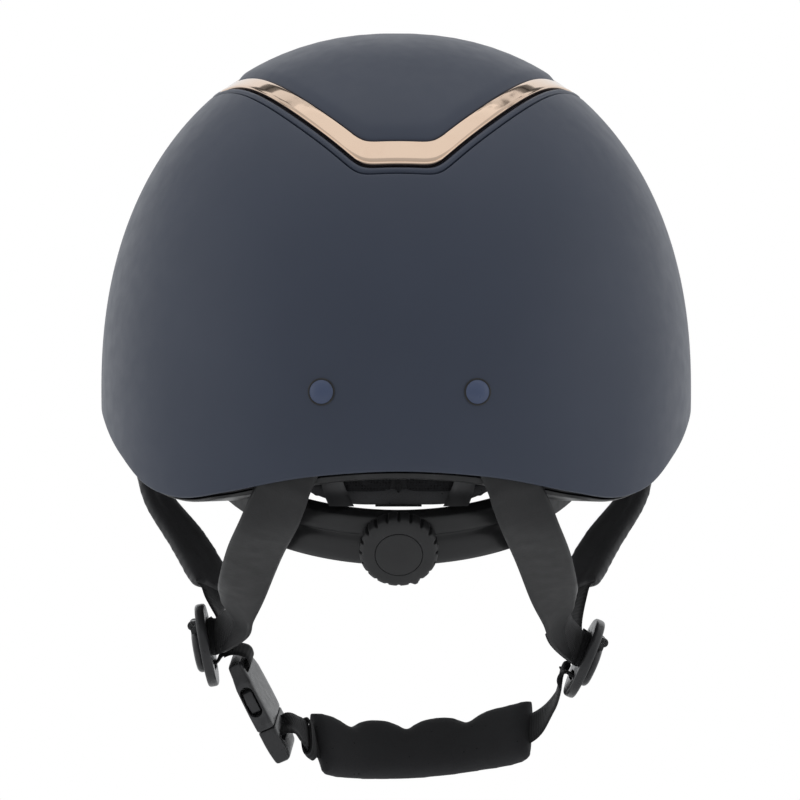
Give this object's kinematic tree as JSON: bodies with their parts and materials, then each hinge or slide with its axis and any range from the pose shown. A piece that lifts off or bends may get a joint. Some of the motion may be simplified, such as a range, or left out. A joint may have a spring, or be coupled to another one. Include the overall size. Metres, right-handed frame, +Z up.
{
  "type": "equestrian riding helmet",
  "caption": "Domed riding helmet with a peak, an inset centre panel with a bright trim band, a padded chin harness with a side-release buckle and a dial-fit cradle at the nape.",
  "frame": {"origin": "centre of the head opening, on the level of the shell's widest line", "axes": "+Z up, -Y towards the peak, +X towards the wearer's left"},
  "size_m": [0.2198, 0.3103, 0.2806],
  "materials": {
    "navy": "satin",
    "rose_gold": "polished",
    "black_plastic": "satin",
    "foam": "matte",
    "fabric": "matte",
    "leather": "satin",
    "webbing": "matte",
    "steel": "satin"
  },
  "bodies": {
    "helmet": {"outer_shell": "navy", "centre_panel": "navy", "panel_trim": "rose_gold", "panel_bezel": "navy", "foam_liner": "foam", "rim_cover": "black_plastic", "rear_pad_left": "fabric", "rear_pad_right": "fabric", "brow_pad": "fabric", "crown_pad": "fabric", "peak": "navy", "peak_underside": "black_plastic", "rear_rivet_left": "navy", "rear_rivet_right": "navy", "front_rivet_left": "navy", "front_rivet_right": "navy", "rear_strap_left": "leather", "rear_strap_right": "leather", "front_strap_left": "webbing", "front_strap_right": "webbing", "front_sleeve_left": "leather", "front_sleeve_right": "leather", "divider_left": "black_plastic", "divider_right": "black_plastic", "lever_pin_left": "steel", "lever_pin_right": "steel", "buckle_webbing": "webbing", "buckle_housing": "black_plastic", "chin_webbing": "webbing", "chin_pad": "fabric", "strap_keeper": "webbing", "cradle_stud_left": "steel", "cradle_stud_right": "steel"},
    "cam_lever_left": {"cam_lever_left": "black_plastic"},
    "cam_lever_right": {"cam_lever_right": "black_plastic"},
    "buckle_tongue": {"buckle_tongue": "black_plastic"},
    "prong_front": {"buckle_prong_front": "black_plastic"},
    "prong_rear": {"buckle_prong_rear": "black_plastic"},
    "cradle": {"cradle_base": "black_plastic", "cradle_cover": "black_plastic", "cradle_strut_left": "black_plastic", "cradle_strut_right": "black_plastic", "nape_pad": "fabric", "cradle_screw_1": "steel", "cradle_screw_2": "steel", "cradle_screw_3": "steel", "cradle_screw_4": "steel"},
    "dial": {"dial_knob": "black_plastic", "dial_pinion": "black_plastic", "dial_cap": "black_plastic"},
    "belt_left": {"fit_belt_left": "black_plastic"},
    "belt_right": {"fit_belt_right": "black_plastic"}
  },
  "joints": [
    {"name": "cradle_tilt", "type": "hinge", "parent": "helmet", "child": "cradle", "pos_m": [0, 0.09576, -0.026], "axis": [-1, 0, 0], "range_deg": [-2, 4], "stiffness_Nm_per_rad": 2},
    {"name": "dial_turn", "type": "hinge", "parent": "cradle", "child": "dial", "pos_m": [0, 0.093, -0.0515], "axis": [0, 0.8829, -0.4695], "range_deg": [-120, 120]},
    {"name": "belt_left_slide", "type": "hinge", "parent": "cradle", "child": "belt_left", "pos_m": [0, 0.03119, -0.01864], "axis": [0, 0.4695, 0.8829], "range_deg": [-4.3, 4.3]},
    {"name": "belt_right_slide", "type": "hinge", "parent": "cradle", "child": "belt_right", "pos_m": [0, 0.03119, -0.01864], "axis": [0, 0.4695, 0.8829], "range_deg": [-4.3, 4.3]},
    {"name": "lever_left_flip", "type": "hinge", "parent": "helmet", "child": "cam_lever_left", "pos_m": [0.07559, 0.012, -0.0873], "axis": [0, -1, 0], "range_deg": [0, 75]},
    {"name": "lever_right_flip", "type": "hinge", "parent": "helmet", "child": "cam_lever_right", "pos_m": [-0.0767, 0.012, -0.09365], "axis": [0, 1, 0], "range_deg": [0, 75]},
    {"name": "buckle_release", "type": "slide", "parent": "helmet", "child": "buckle_tongue", "axis": [-0.4382, -0.2001, -0.8763], "range_m": [0, 0.022], "deforming": ["chin_webbing", "chin_pad", "strap_keeper", "buckle_prong_front", "buckle_prong_rear"]},
    {"name": "prong_front_squeeze", "type": "hinge", "parent": "buckle_tongue", "child": "prong_front", "pos_m": [0.04649, -0.0018, -0.12186], "axis": [-0.8953, 0.1844, 0.4055], "range_deg": [0, 12], "stiffness_Nm_per_rad": 0.05},
    {"name": "prong_rear_squeeze", "type": "hinge", "parent": "buckle_tongue", "child": "prong_rear", "pos_m": [0.04777, 0.0136, -0.12602], "axis": [0.8953, -0.1844, -0.4055], "range_deg": [0, 12], "stiffness_Nm_per_rad": 0.05}
  ],
  "couplings": [
    {"joint": "belt_left_slide", "follows": "dial_turn", "ratio": 0.034384},
    {"joint": "belt_right_slide", "follows": "dial_turn", "ratio": -0.033566}
  ]
}
